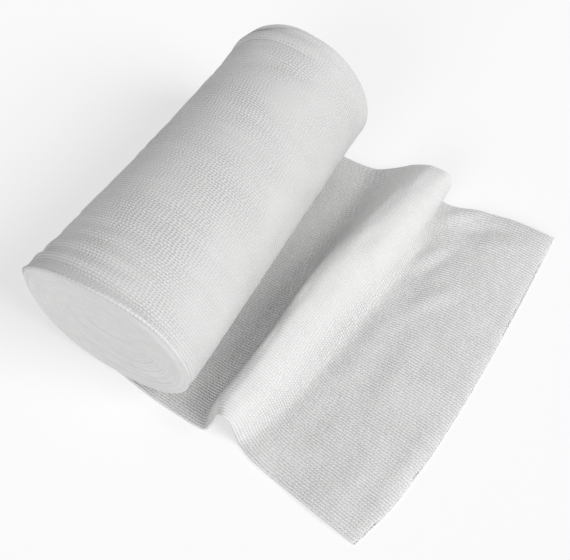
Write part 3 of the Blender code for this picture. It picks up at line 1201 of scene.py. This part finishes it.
    def build(self, finishes: Sequence[bpy.types.Material], shift: Vector) -> bpy.types.Object:
        """Build the loose end as one closed mesh, hollow between its walls.

        Args:
            finishes: The knit face's material, then the cut yarn's.
            shift: Move from the roll's own measures into the frame.

        Returns:
            The piece.
        """
        along = self.along()
        outer_share, outer_half, inner_share, inner_half = self.widths()
        outer = self.walls(along, outer_share, outer_half, self.outer_closing)
        inner = self.walls(along, inner_share, inner_half, self.inner_closing)
        columns = outer.shape[1]
        count = len(outer_share)
        steps = np.linalg.norm(np.diff(outer[:, count // 2], axis=0), axis=1)
        run = np.concatenate([np.zeros(1), np.cumsum(steps)])
        across = np.concatenate([outer_share, 2.0 - outer_share[-2:0:-1], [2.0]])
        knit = np.stack(
            [
                across[None, :] * WALES_ACROSS + 0.0 * run[:, None],
                (run[:, None] + COURSE_SKEW * across[None, :] * TUBE_WIDTH) / COURSE_PITCH,
            ],
            axis=-1,
        )
        draft = MeshDraft()
        outer_index = draft.add_points(outer)
        inner_index = draft.add_points(inner)
        wrap = np.arange(columns + 1) % columns
        draft.add_quads(outer_index[:-1][:, wrap], knit[:-1])
        draft.add_quads(outer_index[-2:][:, wrap], knit[-2:], EDGE, smooth=False)
        draft.add_quads(inner_index[::-1][:, wrap], knit[::-1])
        for row, order in ((0, -1), (-1, 1)):
            rims = np.stack([outer_index[row, wrap], inner_index[row, wrap]])[::order]
            places = np.stack([knit[row], knit[row]])
            draft.add_quads(rims, places, EDGE, smooth=False)
        return draft.build("pulled_out_cloth", finishes, shift)

    def cut_edge(self) -> tuple[np.ndarray, np.ndarray, np.ndarray]:
        """Find where the cut end's loops of yarn leave both walls.

        Returns:
            Places, ways out of the cloth and ways up, one row for each loop.
        """
        share = (np.arange(WALES_ACROSS) + 0.5) / WALES_ACROSS
        middle = self.middle_surface(self.along(), share)
        outward = middle[-1] - middle[-3]
        outward[:, 2] = 0.0
        outward /= np.linalg.norm(outward, axis=-1, keepdims=True)
        half = 0.5 * SHEET_THICKNESS
        kept_outer = half * (1.0 - self.outer_closing)
        kept_inner = (half - WALL_THICKNESS) * (1.0 - self.inner_closing)
        places = []
        for side in (1.0, -1.0):
            lift = side * 0.5 * (kept_outer + kept_inner) - self.outer_closing * half
            places.append(middle[-1] + np.array([0.0, 0.0, lift]))
        up = np.tile([0.0, 0.0, 1.0], (2 * WALES_ACROSS, 1))
        return np.concatenate(places), np.concatenate([outward, outward]), up

    def flat_size(self) -> tuple[float, float]:
        """Give the cut size of the tube opened flat: both walls' width, and the length."""
        middle = self.middle_surface(self.along(), np.linspace(0.0, 1.0, self.measured_columns))
        length = np.linalg.norm(np.diff(middle, axis=0), axis=-1).sum(axis=0).mean()
        width = np.linalg.norm(np.diff(middle, axis=1), axis=-1).sum(axis=1).mean()
        return 2.0 * float(width), float(length)


@dataclass(frozen=True)
class YarnFinish:
    """The white cotton yarn of single loops."""

    name: str
    colour: tuple[float, float, float] = (0.86, 0.86, 0.856)
    unevenness: float = 0.12
    grain_scale: float = 800.0
    roughness: float = 0.9
    gloss: float = 0.2

    def material(self) -> bpy.types.Material:
        """Build the material, a little uneven from place to place."""
        sheet = MaterialSheet(self.name, {"Roughness": self.roughness, "Specular IOR Level": self.gloss})
        place = sheet.node("ShaderNodeTexCoord", {}).outputs["Object"]
        dark = tuple(part * (1.0 - self.unevenness) for part in self.colour)
        mixed = sheet.mix(sheet.noise(place, self.grain_scale, detail=2.0), dark, self.colour)
        sheet.fill(sheet.shader, {"Base Color": mixed})
        return sheet.material


@dataclass(frozen=True)
class CutLoops:
    """The open loops of yarn along the cut end, one for each wale of each wall."""

    loop_width: float = 0.0012
    loop_reach: float = 0.0008
    yarn_radius: float = 0.0002
    foot: tuple[float, float] = (0.35, -0.40)
    handle: tuple[float, float] = (0.75, 1.30)
    curve_steps: int = 8
    yarn_sides: int = 5
    scale_spread: float = 0.25
    tilt_spread: float = 0.22
    seed: int = 5

    def tree(self, finish: bpy.types.Material) -> bpy.types.NodeTree:
        """Build the node tree that sets one loop on each point.

        Args:
            finish: Material of the yarn.

        Returns:
            A tree with the loop's sizes as named inputs.
        """
        tree = bpy.data.node_groups.new("loops_along_cut_end", "GeometryNodeTree")
        tree.interface.new_socket("Geometry", in_out="INPUT", socket_type="NodeSocketGeometry")
        for name in ("Loop width", "Loop reach", "Yarn radius"):
            tree.interface.new_socket(name, in_out="INPUT", socket_type="NodeSocketFloat")
        tree.interface.new_socket("Geometry", in_out="OUTPUT", socket_type="NodeSocketGeometry")
        sheet = NodeSheet(tree)
        given = sheet.node("NodeGroupInput", {}).outputs
        inputs = {"Resolution": self.curve_steps}
        for side, foot, handle in ((-1.0, "Start", "Start Handle"), (1.0, "End", "End Handle")):
            inputs[foot] = (side * self.foot[0], self.foot[1], 0.0)
            inputs[handle] = (side * self.handle[0], self.handle[1], 0.0)
        arch = sheet.node("GeometryNodeCurvePrimitiveBezierSegment", inputs).outputs["Curve"]
        inputs = {"X": given["Loop width"], "Y": given["Loop reach"], "Z": 1.0}
        size = sheet.node("ShaderNodeCombineXYZ", inputs).outputs["Vector"]
        inputs = {"Geometry": arch, "Scale": size}
        sized = sheet.node("GeometryNodeTransform", inputs).outputs["Geometry"]
        inputs = {"Resolution": self.yarn_sides, "Radius": given["Yarn radius"]}
        section = sheet.node("GeometryNodeCurvePrimitiveCircle", inputs).outputs["Curve"]
        inputs = {"Fill Caps": True, "Curve": sized, "Profile Curve": section}
        yarn = sheet.node("GeometryNodeCurveToMesh", inputs).outputs["Mesh"]

        directions = {}
        for name in ("outward", "up"):
            read = sheet.node("GeometryNodeInputNamedAttribute", {"Name": name}, data_type="FLOAT_VECTOR")
            directions[name] = read.outputs["Attribute"]
        inputs = {"Min": (-self.tilt_spread,) * 3, "Max": (self.tilt_spread,) * 3, "Seed": self.seed}
        tilt = sheet.node("FunctionNodeRandomValue", inputs, data_type="FLOAT_VECTOR").outputs["Value"]
        inputs = {0: directions["outward"], 1: tilt}
        leaning = sheet.node("ShaderNodeVectorMath", inputs, operation="ADD").outputs["Vector"]
        inputs = {"Primary Axis": leaning, "Secondary Axis": directions["up"]}
        turned = sheet.node(
            "FunctionNodeAxesToRotation", inputs, primary_axis="Y", secondary_axis="Z"
        ).outputs["Rotation"]

        # The node's number sockets have the names of its vector sockets, so their places are used
        inputs = {2: 1.0 - self.scale_spread, 3: 1.0 + self.scale_spread, "Seed": self.seed + 1}
        scale = sheet.node("FunctionNodeRandomValue", inputs, data_type="FLOAT").outputs[1]
        inputs = {"Points": given["Geometry"], "Instance": yarn, "Rotation": turned, "Scale": scale}
        placed = sheet.node("GeometryNodeInstanceOnPoints", inputs).outputs["Instances"]
        real = sheet.node("GeometryNodeRealizeInstances", {"Geometry": placed}).outputs["Geometry"]
        inputs = {"Material": finish, "Geometry": real}
        coloured = sheet.node("GeometryNodeSetMaterial", inputs).outputs["Geometry"]
        sheet.node("NodeGroupOutput", {"Geometry": coloured})
        return tree

    def build(
        self,
        places: np.ndarray,
        outward: np.ndarray,
        up: np.ndarray,
        finish: bpy.types.Material,
        shift: Vector,
    ) -> bpy.types.Object:
        """Build all the loops as one piece.

        Args:
            places: Where each loop leaves the cloth, in the roll's own measures.
            outward: The way each loop points.
            up: The way each loop's upper side faces.
            finish: Material of the yarn.
            shift: Move from the roll's own measures into the frame.

        Returns:
            The piece.
        """
        points = bpy.data.meshes.new("cut_edge_points")
        points.from_pydata((places + np.array(shift)).tolist(), [], [])
        for name, values in (("outward", outward), ("up", up)):
            layer = points.attributes.new(name, "FLOAT_VECTOR", "POINT")
            layer.data.foreach_set("vector", np.asarray(values, np.float32).ravel())
        piece = add_object("cut_edge_loops", points)
        modifier = piece.modifiers.new("loops", "NODES")
        modifier.node_group = self.tree(finish)
        sizes = {
            "Loop width": self.loop_width,
            "Loop reach": self.loop_reach,
            "Yarn radius": self.yarn_radius,
        }
        for item in modifier.node_group.interface.items_tree:
            if item.name in sizes:
                modifier[item.identifier] = sizes[item.name]
        ready = piece.evaluated_get(bpy.context.evaluated_depsgraph_get())
        mesh = bpy.data.meshes.new_from_object(ready)
        piece.modifiers.remove(modifier)
        piece.data = mesh
        mesh.name = "cut_edge_loops"
        mesh.shade_smooth()
        return piece


@dataclass
class Studio:
    """The pale floor, the soft light and the camera."""

    floor_size: float = 6.0
    floor_colour: tuple[float, float, float] = (0.50, 0.50, 0.50)
    floor_roughness: float = 0.9
    floor_glow: float = 0.49
    sky_strength: float = 0.41
    seen_from: float = 0.01
    seen_to: float = 20.0

    def floor(self) -> bpy.types.Object:
        """Lay a plain pale floor."""
        half = 0.5 * self.floor_size
        mesh = bpy.data.meshes.new("floor")
        square = [(-half, -half, 0.0), (half, -half, 0.0), (half, half, 0.0), (-half, half, 0.0)]
        mesh.from_pydata(square, [], [(0, 1, 2, 3)])
        inputs = {
            "Base Color": (*self.floor_colour, 1.0),
            "Roughness": self.floor_roughness,
            "Emission Color": (1.0, 1.0, 1.0, 1.0),
            "Emission Strength": self.floor_glow,
        }
        mesh.materials.append(MaterialSheet("plain_floor", inputs).material)
        return add_object("floor", mesh)

    def lights(self) -> None:
        """Set the sky's even light and the large soft lights."""
        world = bpy.data.worlds.new("studio_sky")
        world.use_nodes = True
        background = world.node_tree.nodes["Background"]
        background.inputs["Color"].default_value = (1.0, 1.0, 1.0, 1.0)
        background.inputs["Strength"].default_value = self.sky_strength
        bpy.context.scene.world = world
        for name, azimuth, elevation, strength, softness in SOFT_LIGHTS:
            sun = bpy.data.lights.new(name, "SUN")
            sun.energy = strength
            sun.angle = math.radians(softness)
            lamp = add_object(name, sun)
            lamp.rotation_mode = "QUATERNION"
            lamp.rotation_quaternion = direction(azimuth, elevation).to_track_quat("Z", "Y")

    def camera(self, shift: Vector) -> None:
        """Stand the camera at the photograph's viewing angle."""
        back = direction(CAMERA_AZIMUTH, CAMERA_ELEVATION)
        data = bpy.data.cameras.new("camera")
        data.sensor_width = SENSOR_WIDTH_MM
        data.lens = FOCAL_PIXELS * SENSOR_WIDTH_MM / max(FRAME_PIXELS)
        data.clip_start = self.seen_from
        data.clip_end = self.seen_to
        camera = add_object("camera", data)
        camera.location = CAMERA_TARGET + shift + CAMERA_DISTANCE * back
        camera.rotation_mode = "QUATERNION"
        camera.rotation_quaternion = back.to_track_quat("Z", "Y")
        bpy.context.scene.camera = camera

    def colour(self) -> None:
        """Show colours as they are, with no film look."""
        bpy.context.scene.view_settings.view_transform = "Standard"
        bpy.context.scene.view_settings.look = "None"


def direction(azimuth: float, elevation: float) -> Vector:
    """Point from the object towards a place, by its azimuth and elevation in degrees."""
    turn = math.radians(azimuth)
    rise = math.radians(elevation)
    return Vector((math.sin(turn) * math.cos(rise), -math.cos(turn) * math.cos(rise), math.sin(rise)))


def frame_shift() -> Vector:
    """Find the move from the roll's own measures into the frame, from the loose end's box."""
    low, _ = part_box("loose_end")
    return Vector((low.x - LOOSE_START_X, low.y - NEAR_CORNER_Y, 0.0))


def corners(box: tuple[Vector, Vector]) -> list[list[float]]:
    """Turn a box's two corners into plain lists."""
    return [list(corner) for corner in box]


def main() -> None:
    """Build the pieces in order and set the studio."""
    logging.basicConfig(level=logging.INFO, format="%(name)s %(message)s")
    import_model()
    shift = frame_shift()
    face = KnitFinish("knit_face", Surface.FACE).material()
    # The pulled-out cloth takes a copy of the roll's knit painted lighter, painted light on the cloth that
    # lies out flat
    open_face = KnitFinish(
        "knit_face_laid_out_painted_bright",
        Surface.FACE,
        light=LAID_OUT_LIGHT,
        dark=LAID_OUT_DARK,
        bump_height=0.00095,
        patchiness=0.6,
        laid_out=True,
    ).material()
    edges = KnitFinish(
        "folded_edges", Surface.FOLDED_EDGES, light=FOLDED_LIGHT, bump_height=0.00018, bump_strength=0.4
    ).material()

    studio = Studio()
    studio.camera(shift)
    studio.lights()
    studio.colour()
    studio.floor()

    roll = WoundRoll().build([face, edges], shift)
    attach(roll, "root")
    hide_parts("wound_roll")
    LOG.info("wound_cloth: %d faces", len(roll.data.polygons))

    loose = LooseEnd()
    yarn = YarnFinish("cut_yarn").material()
    end = loose.build([open_face, yarn], shift)
    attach(end, "root")
    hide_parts("loose_end")
    places, outward, up = loose.cut_edge()
    loops = CutLoops().build(places, outward, up, yarn, shift)
    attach(loops, "root")
    LOG.info("cut_edge_loops: %d faces", len(loops.data.polygons))

    flat = loose.flat_size()
    LOG.info("pulled_out_cloth: %d faces, cut %.3f by %.3f m", len(end.data.polygons), *flat)


if __name__ == "__main__":
    main()
